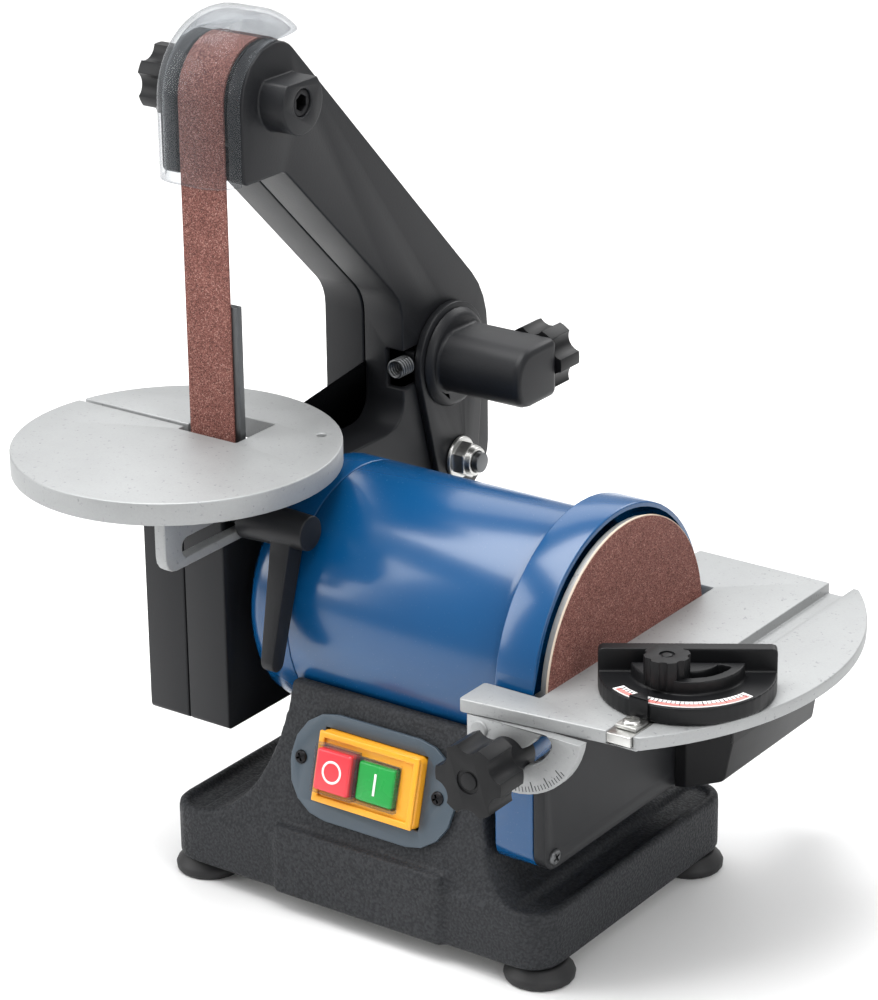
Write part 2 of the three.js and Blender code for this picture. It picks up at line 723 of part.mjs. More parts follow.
const trackingKnob = lobedGrip("y", 134, 150, [-38, 204], 16.5, 6)
  .add(rod("y", 127 + runGap, 135, [-38, 204], 8, 9, 24))
  .add(rod("y", 117, 128, [-38, 204], 3, 3, 20));
addPart("tracking_knob", trackingKnob, "blackPlastic");

const pivotBolt = rod("x", armRight - 12, leverTo + 14, pivot, 5, 5, 20).add(
  rod("x", armRight - 16, armRight - armWall - gap, pivot, 9, 9, 6),
);
addPart("pivot_bolt", pivotBolt, "steel");
const pivotNut = rod("x", leverTo + gap, leverTo + 2, pivot, 11, 10.5, 30)
  .add(rod("x", leverTo + 1.5, leverTo + 8, pivot, 9, 9, 6))
  .add(rod("x", leverTo + 7, leverTo + 11, pivot, 7.5, 7, 24))
  .subtract(rod("x", leverTo, leverTo + 12, pivot, 5 + gap, 5 + gap, 20));
addPart("pivot_nut", pivotNut, "steel");

// A wire wound round a straight line along Y.
class Coil extends THREE.Curve {
  constructor(centre, from, to, radius, turns) {
    super();
    Object.assign(this, { centre, from, to, radius, turns });
  }
  getPoint(share, target = new THREE.Vector3()) {
    const turn = 2 * Math.PI * this.turns * share;
    return target.set(
      this.centre[0] + this.radius * Math.cos(turn),
      this.from + (this.to - this.from) * share,
      this.centre[1] + this.radius * Math.sin(turn),
    );
  }
}
const springTurns = 4;
const wire = new THREE.Shape(arc([0, 0], 0.7, 0, 300, 5).map(([a, b]) => new THREE.Vector2(a, b)));
const springPath = new Coil(
  [armRight - 3, tensionWheel[1] + 1.5],
  tensionWheel[0] - 46,
  tensionWheel[0] - 36,
  4,
  springTurns,
);
addPart(
  "tension_spring",
  solid(new THREE.ExtrudeGeometry(wire, { steps: springTurns * 10, extrudePath: springPath })),
  "steel",
);

// Belt table
const tableBottom = beltTableTop - beltTableThickness;
const beltTable = rod("z", tableBottom, beltTableTop, [beltTableX, beltTableY], beltTableRadius, beltTableRadius, 72)
  .subtract(block([-117, -84], [beltFront - 5, beltFront + 24], [tableBottom - 1, beltTableTop + 1]))
  .subtract(block([beltTableX - 80, -110], [beltFront - 1, beltFront + 2], [tableBottom - 1, beltTableTop + 1]))
  .subtract(rod("z", beltTableTop - 4, beltTableTop + 1, [-58, -14], 2.2, 2.2, 16));
addPart("belt_table", beltTable, "castAluminium");

const bracketFrom = armRight + 0.6;
const bracketTo = armRight + 6.4;
const bracket = prism("x", bracketFrom, bracketTo, [
  [-109, 167, 8],
  [-15, 167, 8],
  [-15, tableBottom - gap, 0],
  [-109, tableBottom - gap, 0],
])
  .add(
    prism("z", tableBottom - 4, tableBottom - gap, rectangle([bracketFrom, bracketTo + 12], [-104, -70], 4)),
  )
  .subtract(
    prism(
      "x",
      bracketFrom - 1,
      bracketTo + 1,
      rectangle(
        [-97, tableBoltY + tableBoltRadius + 8],
        [tableBoltZ - tableBoltRadius - runGap, tableBoltZ + tableBoltRadius + runGap],
        tableBoltRadius,
      ),
    ),
  );
addPart("belt_table_bracket", bracket, "castAluminium");

const clampScrew = rod(
  "x",
  armRight - 6.5,
  bracketTo + 30,
  [tableBoltY, tableBoltZ],
  tableBoltRadius,
  tableBoltRadius,
  24,
);
addPart("clamp_screw", clampScrew, "steel");
const tableBolt = [tableBoltY, tableBoltZ];
const leverEnd = [tableBoltY - 20, tableBoltZ - 56];
const leverTaper = [
  [bracketTo + 25.5, leverEnd[1] - 5],
  [bracketTo + 31.5, leverEnd[1] - 5],
  [bracketTo + 29, tableBoltZ + 6],
  [bracketTo + 17.5, tableBoltZ + 6],
];
const leverSides = bandAround([
  [...leverEnd, 4.5],
  [...tableBolt, 5.5],
]);
const leverGrip = prism("x", bracketTo + 10, bracketTo + 33, leverSides).intersect(
  prism("y", leverEnd[0] - 10, tableBoltY + 10, leverTaper),
);
const clampLever = rod("x", bracketTo + runGap, bracketTo + 36, tableBolt, 9.5, 8)
  .add(leverGrip)
  .subtract(rod("x", bracketTo, bracketTo + 31, tableBolt, tableBoltRadius + gap, tableBoltRadius + gap, 24));
addPart("clamp_lever", clampLever, "blackPlastic");

// Disc guard, disc and dust port
const guardLeft = motorRight + gap;
const guardSplit = tiltZ - 0.5;
const backWall = guardLeft + guardWall;
function makeDiscGuard() {
  return rod("x", guardLeft, guardRight, motorAxis, guardRadius, guardRadius, 72)
    .subtract(rod("x", backWall, guardRight + 1, motorAxis, guardRadius - guardWall, guardRadius - guardWall, 72))
    .subtract(rod("x", guardLeft - 1, backWall + 1, motorAxis, 20))
    .subtract(block([guardLeft - 1, guardRight + 1], [-guardRadius - 1, guardRadius + 1], [0, guardSplit]));
}
addPart("disc_guard", makeDiscGuard(), "blue");

const housingCorner = 9;
const coverScrew = [-60, housingBottom + 6];
const housingOutline = [
  [-guardRadius, housingBottom, housingCorner],
  [guardRadius, housingBottom, housingCorner],
  [guardRadius, guardSplit - gap, 0],
  [-guardRadius, guardSplit - gap, 0],
];
const stud = [tiltX - 1, tiltZ - slotRadius];
const frontTrunnionY = discTableFront + 1;
const rearTrunnionY = discTableRear - 1;
function makeLowerHousing() {
  const open = housingOutline.map((corner) => [...corner]);
  open[2][1] += 10;
  open[3][1] += 10;
  let body = prism("x", guardLeft, guardRight, housingOutline)
    .subtract(prism("x", backWall, guardRight + 1, inset(open, guardWall)))
    .subtract(rod("x", guardLeft - 1, backWall + 1, motorAxis, 20))
    .add(rod("x", backWall - 1, guardRight, coverScrew, 5, 5, 20).intersect(prism("x", 0, 200, housingOutline)))
    .subtract(rod("x", guardRight - 8, guardRight + 1, coverScrew, 2 + gap, 2 + gap, 16));
  const ends = [
    [frontTrunnionY + trunnionThickness + runGap, -guardRadius + 1, [-guardRadius - 5, -guardRadius + 1]],
    [guardRadius - 1, rearTrunnionY - trunnionThickness - runGap, [guardRadius - 1, guardRadius + 5]],
  ];
  for (const [from, to, lugDepth] of ends) {
    body = body
      .add(rod("y", from, to, stud, 8))
      .add(block([guardLeft + 6, guardRight - 0.5], lugDepth, [stud[1] - 8, stud[1] + 8]));
    body = body.subtract(rod("y", from - 1, to + 1, stud, studRadius + runGap, studRadius + runGap, 20));
  }
  const clearOfCover = block([guardRight, discFace + 10], [-guardRadius, guardRadius], [50, guardSplit]);
  return body.subtract(clearOfCover);
}
addPart("disc_lower_housing", makeLowerHousing(), "blue");

const coverTo = discFace + 1.8;
const coverTop = tiltZ - 9;
const portOutline = [
  [coverTo, housingBottom - 1],
  [coverTo + 20, housingBottom + 3, 3],
  [coverTo + 23, housingBottom + 22, 3],
  [coverTo + 23, 92, 3],
  [coverTo, 99],
];
const portFront = 38;
const portRear = 128;
function makeLowerCover() {
  const sides = [
    [-guardRadius, housingBottom, housingCorner],
    [guardRadius, housingBottom, housingCorner],
    [guardRadius, coverTop, 0],
    [-guardRadius, coverTop, 0],
  ];
  const open = inset(sides, guardWall);
  open[2][1] += 10;
  open[3][1] += 10;
  return prism("x", guardRight + gap, coverTo, sides)
    .subtract(prism("x", guardRight - 1, coverTo - 1.4, open))
    .add(rod("x", guardRight + gap, coverTo - 1, coverScrew, 5, 5, 20).intersect(prism("x", 0, 200, sides)))
    .subtract(rod("x", guardRight - 1, coverTo + 1, coverScrew, 2 + gap, 2 + gap, 16))
    .subtract(block([coverTo - 5, coverTo + 1], [portFront + 16, guardRadius - 8], [housingBottom + 8, 90]));
}
addPart("disc_lower_cover", makeLowerCover(), "satinBlack");
addPart(
  "cover_screw",
  rod("x", guardRight - 4, coverTo + gap, coverScrew, 2, 2, 16).add(
    rod("x", coverTo + gap, coverTo + 2.2, coverScrew, 4, 3.2, 20),
  ),
  "steel",
);

function makeDustPort() {
  const away = portOutline.map((corner) => [corner[0] + gap, ...corner.slice(1)]);
  const plan = [
    [coverTo + gap, portFront],
    [coverTo + 6, portFront, 3],
    [coverTo + 24, portFront + 12, 4],
    [coverTo + 24, portRear],
    [coverTo + gap, portRear],
  ];
  const duct = prism("y", portFront + 16, portRear + 1, inset(away, 2.5));
  const mouth = block([coverTo - 1, coverTo + 5], [portFront + 16, guardRadius - 8], [housingBottom + 8, 90]);
  return prism("y", portFront, portRear, away)
    .intersect(prism("z", 0, 200, plan))
    .subtract(duct)
    .subtract(mouth);
}
addPart("dust_port", makeDustPort(), "blackPlastic");

const discBack = discFace - 1.2;
const discPlate = rod("x", discBack - 9, discBack, motorAxis, discRadius - 0.5, discRadius - 0.5, 64)
  .add(rod("x", backWall + 3, discBack - 8, motorAxis, 16))
  .subtract(rod("x", backWall, discFace - 4 + gap, motorAxis, shaftRadius + gap));
addPart("disc_plate", discPlate, "castAluminium");
addPart("abrasive_disc", rod("x", discBack + gap, discFace, motorAxis, discRadius, discRadius, 72), "abrasive");

// Disc table and its trunnions
const discTableBottom = discTableTop - discTableThickness;
const notchY = guardRadius + 2.5;
const notchX = discFace + 1.2;
function makeDiscTable() {
  const [endX, halfEnd] = discTableEnd;
  const reach = discTableRight - endX;
  const edgeRadius = (reach * reach + halfEnd * halfEnd) / (2 * reach);
  const edgeTurn = THREE.MathUtils.radToDeg(Math.asin(halfEnd / edgeRadius));
  const outline = [
    [discTableLeft, discTableFront, 2],
    ...arc([discTableRight - edgeRadius, discEdgeMiddle], edgeRadius, -edgeTurn, edgeTurn, 28),
    [discTableLeft, discTableRear, 2],
    [discTableLeft, notchY, 2],
    [notchX, notchY],
    [notchX, -notchY],
    [discTableLeft, -notchY, 2],
  ];
  const bevel = prism("y", -notchY, notchY, [
    [notchX - 1, discTableTop - 1],
    [notchX - 1, discTableBottom - 1],
    [notchX + discTableThickness + 3, discTableBottom - 1],
  ]);
  const channel = rectangle(
    [grooveX - grooveWidth / 2 - 4, grooveX + grooveWidth / 2],
    [discEdgeMiddle - halfEnd + 3, discEdgeMiddle + halfEnd - 3],
    1,
  );
  return prism("z", discTableBottom, discTableTop, outline)
    .subtract(bevel)
    .add(prism("z", discTableTop - channelThickness, discTableBottom + 1, channel))
    .subtract(
      block(
        [grooveX - grooveWidth / 2, grooveX + grooveWidth / 2],
        [discTableFront - 1, discTableRear + 1],
        [discTableTop - grooveDepth, discTableTop + 1],
      ),
    );
}
addPart("disc_table", makeDiscTable(), "castAluminium");

// A trunnion hangs under an arm of the table and has a bent slot for the clamping stud.
function makeTrunnion(from) {
  const to = from + trunnionThickness;
  const centre = [tiltX, tiltZ];
  const plate = rod("y", from, to, centre, trunnionRadius, trunnionRadius, 48)
    .subtract(
      block(
        [tiltX - trunnionRadius - 1, tiltX + trunnionRadius + 1],
        [from - 1, to + 1],
        [discTableBottom - gap, tiltZ + trunnionRadius + 1],
      ),
    )
    .subtract(block([0, tiltX - 22], [from - 1, to + 1], [0, 200]));
  const slotTurns = [-106, -28];
  const slotWidth = 2 * (studRadius + runGap);
  const slot = slotTurns.reduce(
    (open, turn) => open.add(rod("y", from - 1, to + 1, arc(centre, slotRadius, turn, turn, 1)[0], slotWidth / 2)),
    prism("y", from - 1, to + 1, arcSlot(centre, slotRadius, slotWidth, ...slotTurns)),
  );
  return plate.subtract(slot);
}
addPart("front_trunnion", makeTrunnion(frontTrunnionY), "castAluminium");
addPart("rear_trunnion", makeTrunnion(rearTrunnionY - trunnionThickness), "castAluminium");

const trunnionKnobFace = frontTrunnionY - 38;
const trunnionKnobCollar = frontTrunnionY - 21;
const trunnionKnob = lobedGrip("y", trunnionKnobFace, trunnionKnobCollar, stud, 16.5, 6)
  .add(rod("y", trunnionKnobCollar - 1, frontTrunnionY - runGap, stud, 9, 9, 24))
  .add(rod("y", frontTrunnionY - 1, frontTrunnionY + 18, stud, studRadius, studRadius, 20));
addPart("trunnion_knob_front", trunnionKnob, "blackPlastic");
const trunnionBolt = rod("y", rearTrunnionY - 18, rearTrunnionY + 1, stud, studRadius, studRadius, 20)
  .add(rod("y", rearTrunnionY + runGap, rearTrunnionY + 2, stud, 8, 8, 24))
  .add(rod("y", rearTrunnionY + 2, rearTrunnionY + 6.5, stud, 6.5, 6.5, 6));
addPart("trunnion_bolt_rear", trunnionBolt, "steel");

// Mitre gauge
const barTop = discTableTop - gap;
const barSides = [grooveX - grooveWidth / 2 + runGap / 2, grooveX + grooveWidth / 2 - runGap / 2];
const barEnds = [discTableFront + 8, 4];
const mitreStud = [grooveX, mitrePivotY - mitreStudRadius];
const mitreScrew = [grooveX, -71.8];
const headBottom = discTableTop + runGap;
const mitreBar = block(barSides, barEnds, [discTableTop - grooveDepth + gap, barTop])
  .add(rod("z", barTop - 1, headBottom + 5, [grooveX, mitrePivotY], 3, 3, 20))
  .subtract(rod("z", barTop - 4, barTop + 1, mitreStud, 2.5 + gap, 2.5 + gap, 20))
  .subtract(rod("z", barTop - 3, barTop + 1, mitreScrew, 2 + gap, 2 + gap, 16));
addPart("mitre_bar", mitreBar, "steel");

const headTurn = new THREE.Matrix4().makeRotationZ(mitreTurn).setPosition(grooveX, mitrePivotY, headBottom);
function makeMitreHead() {
  const halfRound = [...arc([0, 0], mitreRadius, 180, 360, 28)];
  const raised = [...arc([0, 0], mitrePlatformRadius, 190, 350, 20)];
  return prism("z", 0, 7.5, halfRound)
    .add(prism("z", 7, 13.5, raised))
    .add(prism("y", -0.5, 5.5, rectangle([-mitreRadius, mitreRadius], [0, 18], 2)))
    .subtract(prism("z", -1, 20, arcSlot([0, 0], mitreStudRadius, 5 + 2 * runGap, -156, -24, 20)))
    .subtract(rod("z", -1, 6, [0, 0], 3 + runGap, 3 + runGap, 20))
    .transform([...headTurn.elements]);
}
addPart("mitre_head", makeMitreHead(), "blackPlastic");

const knobSeat = headBottom + 13.5 + runGap;
const mitreKnob = lobedGrip("z", knobSeat + 1.5, knobSeat + 14, mitreStud, 9.8, 8)
  .add(rod("z", knobSeat, knobSeat + 2, mitreStud, 7, 7, 24))
  .add(rod("z", barTop - 3.5, knobSeat + 1, mitreStud, 2.5, 2.5, 20));
addPart("mitre_knob", mitreKnob, "blackPlastic");

const pointerTop = barTop + gap + 1.5;
const pointer = block([grooveX - 5, grooveX + 5], [-77, mitrePivotY - mitreRadius - 1], [barTop + gap, pointerTop])
  .subtract(rod("z", barTop, pointerTop + 1, mitreScrew, 2 + gap, 2 + gap, 16));
addPart("mitre_pointer", pointer, "steel");
addPart(
  "mitre_screw",
  rod("z", barTop - 2.5, pointerTop + gap, mitreScrew, 2, 2, 16).add(
    rod("z", pointerTop + gap, pointerTop + 3.2, mitreScrew, 4.2, 3.4, 24),
  ),
  "steel",
);

// The origin is the middle of the bounding box's bottom.
const bounds = new THREE.Box3().setFromObject(sander);
const middle = bounds.getCenter(new THREE.Vector3());
sander.position.set(-middle.x, -middle.y, -bounds.min.z);
export default sander;
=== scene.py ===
import json
import math

import bpy
from mathutils import Matrix, Vector


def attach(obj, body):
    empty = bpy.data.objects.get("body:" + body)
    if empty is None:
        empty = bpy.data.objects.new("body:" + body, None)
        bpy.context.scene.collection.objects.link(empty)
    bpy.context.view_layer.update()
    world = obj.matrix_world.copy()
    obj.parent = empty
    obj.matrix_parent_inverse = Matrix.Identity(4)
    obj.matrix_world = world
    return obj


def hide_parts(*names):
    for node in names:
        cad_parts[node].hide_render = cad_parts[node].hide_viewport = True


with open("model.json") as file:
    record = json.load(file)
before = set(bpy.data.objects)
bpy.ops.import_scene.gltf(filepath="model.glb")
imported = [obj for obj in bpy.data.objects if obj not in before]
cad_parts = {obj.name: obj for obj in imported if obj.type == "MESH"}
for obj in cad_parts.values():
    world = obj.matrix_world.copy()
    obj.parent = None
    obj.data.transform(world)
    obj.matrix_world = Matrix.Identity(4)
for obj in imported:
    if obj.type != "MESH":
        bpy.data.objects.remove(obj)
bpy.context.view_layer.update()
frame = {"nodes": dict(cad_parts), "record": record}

mm = 0.001
behaviour = frame["record"]["behaviour"]
bodyOf = {node: body for body, nodes in behaviour["bodies"].items() for node in nodes}
axisTurn = {
    "x": (0, math.pi / 2, 0),
    "y": (-math.pi / 2, 0, 0),
    "z": (0, 0, 0),
}
print("frame loaded:", len(frame["nodes"]), "nodes")


# Shader maths: a Value is a socket that can be added, subtracted and multiplied.
class Value:
    def __init__(self, tree, socket):
        self.tree = tree
        self.socket = socket

    def join(self, operation, first, second):
        node = self.tree.nodes.new("ShaderNodeMath")
        node.operation = operation
        for place, end in zip(node.inputs, (first, second)):
            if isinstance(end, Value):
                self.tree.links.new(end.socket, place)
            else:
                place.default_value = end
        return Value(self.tree, node.outputs[0])

    def __add__(self, other):
        return self.join("ADD", self, other)

    def __radd__(self, other):
        return self.join("ADD", other, self)

    def __sub__(self, other):
        return self.join("SUBTRACT", self, other)

    def __rsub__(self, other):
        return self.join("SUBTRACT", other, self)

    def __mul__(self, other):
        return self.join("MULTIPLY", self, other)

    def __rmul__(self, other):
        return self.join("MULTIPLY", other, self)


class Finish:
    def __init__(self, name, color, roughness, metallic=0.0, shine=0.5):
        self.material = bpy.data.materials.new(name)
        self.material.use_nodes = True
        self.tree = self.material.node_tree
        self.shader = self.tree.nodes["Principled BSDF"]
        self.place = self.node("ShaderNodeTexCoord", output="Object")
        self.set("Base Color", (*color, 1))
        self.set("Roughness", roughness)
        self.set("Metallic", metallic)
        self.set("Specular IOR Level", shine)

    def node(self, kind, settings=None, sockets=None, output=0):
        made = self.tree.nodes.new(kind)
        for name, value in (settings or {}).items():
            if name == "stops":
                ramp = made.color_ramp.elements
                while len(ramp) < len(value):
                    ramp.new(0.5)
                for stop, (position, shade) in zip(ramp, value):
                    stop.position = position
                    stop.color = (*shade, 1)
            else:
                setattr(made, name, value)
        for name, value in (sockets or {}).items():
            if isinstance(value, Value):
                self.tree.links.new(value.socket, made.inputs[name])
            else:
                made.inputs[name].default_value = value
        return Value(self.tree, made.outputs[output])

    def set(self, socket, value):
        if isinstance(value, Value):
            self.tree.links.new(value.socket, self.shader.inputs[socket])
        else:
            self.shader.inputs[socket].default_value = value

    # Soft noise from 0 to 1 whose lumps are about size millimetres across
    def noise(self, size, detail=3.0, rough=0.55):
        sockets = {
            "Vector": self.place,
            "Scale": 0.7 / (size * mm),
            "Detail": detail,
            "Roughness": rough,
        }
        return self.node("ShaderNodeTexNoise", sockets=sockets)

    # Crumbs about size millimetres across, each of one random shade
    def crumbs(self, size, output="Distance"):
        sockets = {"Vector": self.place, "Scale": 1 / (size * mm)}
        return self.node("ShaderNodeTexVoronoi", sockets=sockets, output=output)

    # 0 below low, 1 above high
    def between(self, value, low, high):
        sockets = {"Value": value, "From Min": low, "From Max": high}
        return self.node("ShaderNodeMapRange", sockets=sockets)

    def blend(self, share, first, second):
        colors = [value if isinstance(value, Value) else (*value, 1) for value in (first, second)]
        sockets = {0: share, 6: colors[0], 7: colors[1]}
        return self.node("ShaderNodeMix", {"data_type": "RGBA"}, sockets, output=2)

    def bump(self, height, depth, strength=1.0):
        sockets = {"Height": height, "Distance": depth * mm, "Strength": strength}
        self.set("Normal", self.node("ShaderNodeBump", sockets=sockets))


def makeTexturedBlack():
    look = {"dark": (0.012, 0.013, 0.015), "light": (0.034, 0.036, 0.04), "grain": 0.9, "depth": 0.16}
    finish = Finish("texturedBlack", look["dark"], 0.6, shine=0.25)
    grain = finish.noise(look["grain"], 2.0, 0.5)
    broad = finish.noise(22, 2.0)
    pebbles = finish.between(grain, 0.38, 0.66)
    finish.set("Base Color", finish.blend(pebbles * 0.6 + broad * 0.3, look["dark"], look["light"]))
    finish.set("Roughness", 0.62 - pebbles * 0.14 + broad * 0.08)
    finish.bump(pebbles, look["depth"])
    return finish.material


def makeSatinBlack(name="satinBlack", grain=0.55, depth=0.035, roughness=0.4):
    look = {"dark": (0.006, 0.0063, 0.0075), "light": (0.015, 0.0158, 0.018)}
    finish = Finish(name, look["dark"], roughness, shine=0.25)
    fine = finish.noise(grain, 2.0)
    broad = finish.noise(30, 3.0)
    finish.set("Base Color", finish.blend(fine * 0.5 + broad * 0.5, look["dark"], look["light"]))
    finish.set("Roughness", roughness - 0.05 + broad * 0.12 + fine * 0.06)
    finish.bump(fine, depth)
    return finish.material


def makeBluePaint():
    look = {"deep": (0.0005, 0.05, 0.155), "bright": (0.0005, 0.066, 0.19), "peel": 2.6}
    finish = Finish("bluePaint", look["deep"], 0.24)
    broad = finish.noise(40, 2.0)
    peel = finish.noise(look["peel"], 1.0, 0.4)
    dust = finish.between(finish.noise(0.5, 1.0), 0.74, 0.8)
    finish.set("Base Color", finish.blend(broad, look["deep"], look["bright"]))
    finish.set("Roughness", 0.2 + broad * 0.07 + dust * 0.2)
    finish.set("Coat Weight", 0.2)
    finish.set("Coat Roughness", 0.12)
    finish.bump(peel, 0.012)
    return finish.material


def makeCastAluminium(name="castAluminium", shade=0.5, grain=0.8, depth=0.05):
    look = {"dull": (0.27, 0.275, 0.28), "bright": (0.42, 0.43, 0.43), "pit": (0.16, 0.165, 0.17)}
    finish = Finish(name, look["dull"], 0.5, 0.55)
    sand = finish.noise(grain, 3.0, 0.65)
    cloud = finish.noise(26, 4.0, 0.6)
    pits = finish.between(finish.noise(1.5, 2.0, 0.6), 0.64, 0.72)
    skin = finish.blend(sand * 0.5 + cloud * shade, look["dull"], look["bright"])
    finish.set("Base Color", finish.blend(pits * 0.5, skin, look["pit"]))
    finish.set("Roughness", 0.4 + sand * 0.16 + cloud * 0.1)
    finish.bump(sand - pits * 0.6, depth)
    return finish.material


def makeBrightMetal(name, color, roughness, size):
    finish = Finish(name, color, roughness, 1.0)
    cloud = finish.noise(size, 3.0, 0.6)
    scratch = finish.noise(size * 0.12, 2.0)
    dull = tuple(0.72 * part for part in color)
    finish.set("Base Color", finish.blend(cloud, dull, color))
    finish.set("Roughness", roughness + cloud * 0.14 - 0.05 + scratch * 0.06)
    finish.bump(scratch, 0.01)
    return finish.material


def makePlastic(name, color, roughness, grain=0.45, depth=0.02, change=0.16, shine=0.5):
    finish = Finish(name, color, roughness, shine=shine)
    fine = finish.noise(grain, 2.0)
    broad = finish.noise(18, 3.0)
    low = tuple(part * (1 - change) for part in color)
    high = tuple(min(1, part * (1 + change)) for part in color)
    finish.set("Base Color", finish.blend(broad * 0.7 + fine * 0.3, low, high))
    finish.set("Roughness", roughness - 0.04 + broad * 0.1)
    finish.bump(fine, depth)
    return finish.material


def makeAbrasive():
    look = {
        "stops": [
            (0.0, (0.045, 0.014, 0.012)),
            (0.45, (0.16, 0.05, 0.038)),
            (0.8, (0.27, 0.105, 0.08)),
            (1.0, (0.5, 0.3, 0.25)),
        ],
        "grit": 0.42,
    }
    finish = Finish("abrasive", (0.16, 0.05, 0.04), 0.85)
    grit = finish.crumbs(look["grit"], "Color")
    height = finish.crumbs(look["grit"])
    glue = finish.noise(5, 3.0)
    shade = finish.node("ShaderNodeSeparateColor", sockets={"Color": grit})
    ramp = finish.node("ShaderNodeValToRGB", {"stops": look["stops"]}, {"Fac": shade * 0.8 + glue * 0.22})
    finish.set("Base Color", ramp)
    finish.set("Roughness", 0.92 - shade * 0.3)
    finish.bump(1 - height, 0.16)
    return finish.material


def makeClear():
    look = {"tint": (0.9, 0.91, 0.92), "gloss": (0.2, 0.21, 0.22)}
    finish = Finish("clearPlastic", look["gloss"], 0.06)
    haze = finish.noise(9, 3.0)
    finish.set("Roughness", 0.05 + haze * 0.05)
    edge = finish.node("ShaderNodeLayerWeight", sockets={"Blend": 0.42}, output="Facing")
    through = finish.node("ShaderNodeBsdfTransparent", sockets={"Color": (*look["tint"], 1)})
    share = finish.between(edge * edge, 0.0, 1.0) * 0.7 + 0.04 + haze * 0.02
    surface = Value(finish.tree, finish.shader.outputs[0])
    mixed = finish.node("ShaderNodeMixShader", sockets={0: share, 1: through, 2: surface})
    output = finish.tree.nodes["Material Output"]
    finish.tree.links.new(mixed.socket, output.inputs["Surface"])
    return finish.material


def makeRubber():
    finish = Finish("rubber", (0.012, 0.012, 0.013), 0.7)
    fine = finish.noise(0.8, 3.0)
    scuffs = finish.between(finish.noise(7, 4.0, 0.7), 0.55, 0.75)
    finish.set("Base Color", finish.blend(scuffs * 0.6, (0.01, 0.01, 0.011), (0.035, 0.034, 0.033)))
    finish.set("Roughness", 0.58 + scuffs * 0.2)
    finish.bump(fine, 0.03)
    return finish.material


finishes = {
    "texturedBlack": makeTexturedBlack(),
    "satinBlack": makeSatinBlack(),
    "bluePaint": makeBluePaint(),
    "castAluminium": makeCastAluminium(),
    "machinedAluminium": makeCastAluminium("machinedAluminium", 0.7, 0.35, 0.012),
    "zinc": makeBrightMetal("zinc", (0.66, 0.66, 0.64), 0.3, 3),
    "darkSteel": makeBrightMetal("darkSteel", (0.16, 0.165, 0.17), 0.38, 3),
    "blackSteel": makeBrightMetal("blackSteel", (0.03, 0.03, 0.032), 0.4, 3),
    "blackPlastic": makePlastic("blackPlastic", (0.0065, 0.0067, 0.0075), 0.4, shine=0.2),
    "greyPlate": makePlastic("greyPlate", (0.05, 0.072, 0.094), 0.36, 0.5, 0.02),
    "yellowPlastic": makePlastic("yellowPlastic", (0.85, 0.37, 0.02), 0.3, 0.6, 0.008, 0.06),
    "redPlastic": makePlastic("redPlastic", (0.72, 0.045, 0.06), 0.25, 0.6, 0.006, 0.08),
    "greenPlastic": makePlastic("greenPlastic", (0.01, 0.3, 0.05), 0.25, 0.6, 0.006, 0.08),
    "paleMark": makePlastic("paleMark", (0.82, 0.8, 0.79), 0.5, 0.6, 0.004, 0.05),
    "pinkMark": makePlastic("pinkMark", (0.75, 0.22, 0.2), 0.5, 0.6, 0.004, 0.08),
    "darkMark": makePlastic("darkMark", (0.03, 0.03, 0.032), 0.6, 0.6, 0.004, 0.1),
    "creamBacking": makePlastic("creamBacking", (0.62, 0.52, 0.42), 0.8, 0.4, 0.02, 0.1),
    "abrasive": makeAbrasive(),
    "clear": makeClear(),
    "rubber": makeRubber(),
    "winding": makeBrightMetal("winding", (0.42, 0.16, 0.06), 0.4, 2),
}
print("finishes made:", len(finishes))


def onlySelect(piece):
    if bpy.context.object and bpy.context.object.mode != "OBJECT":
        bpy.ops.object.mode_set(mode="OBJECT")
    bpy.ops.object.select_all(action="DESELECT")
    piece.select_set(True)
    bpy.context.view_layer.objects.active = piece


def modify(piece, kind, **settings):
    modifier = piece.modifiers.new(kind, kind)
    for name, value in settings.items():
        setattr(modifier, name, value)
    onlySelect(piece)
    bpy.ops.object.modifier_apply(modifier=modifier.name)


# Puts a new piece's place in its mesh, gives it its finish and sets it on its body.
def finishPiece(piece, name, finish, body, replaced=(), smooth=35):
    onlySelect(piece)
    bpy.ops.object.transform_apply(location=True, rotation=True, scale=True)
    bpy.ops.object.mode_set(mode="EDIT")
    bpy.ops.mesh.select_all(action="SELECT")
    bpy.ops.mesh.normals_make_consistent(inside=False)
    bpy.ops.object.mode_set(mode="OBJECT")
    bpy.ops.object.shade_smooth_by_angle(angle=math.radians(smooth))
    piece.name = name
    piece.data.name = name
    piece.data.materials.clear()
    piece.data.materials.append(finishes[finish])
    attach(piece, body)
    if replaced:
        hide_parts(*replaced)
    return piece


# A copy of a CAD node with its triangles joined up and its sharp edges rounded over.
def softenedCopy(node, finish, width, segments=3, sharp=32):
    source = frame["nodes"][node]
    mesh = source.data.copy()
    piece = bpy.data.objects.new(node + "_shell", mesh)
    bpy.context.collection.objects.link(piece)
    onlySelect(piece)
    bpy.ops.object.mode_set(mode="EDIT")
    bpy.ops.mesh.select_all(action="SELECT")
    bpy.ops.mesh.remove_doubles(threshold=2e-6)
    bpy.ops.mesh.dissolve_limited(angle_limit=math.radians(0.6))
    bpy.ops.object.mode_set(mode="OBJECT")
    modify(
        piece, "BEVEL",
        width=width * mm, segments=segments, limit_method="ANGLE", angle_limit=math.radians(sharp),
        use_clamp_overlap=False, miter_outer="MITER_ARC",
    )
    return finishPiece(piece, node + "_shell", finish, bodyOf[node], [node])


def addRod(axis, start, end, radius, sides=48, endRadius=None):
    middle = (Vector(start) + Vector(end)) / 2
    bpy.ops.mesh.primitive_cone_add(
        vertices=sides, radius1=radius, radius2=radius if endRadius is None else endRadius,
        depth=(Vector(end) - Vector(start)).length, location=middle, rotation=axisTurn[axis],
    )
    return bpy.context.object


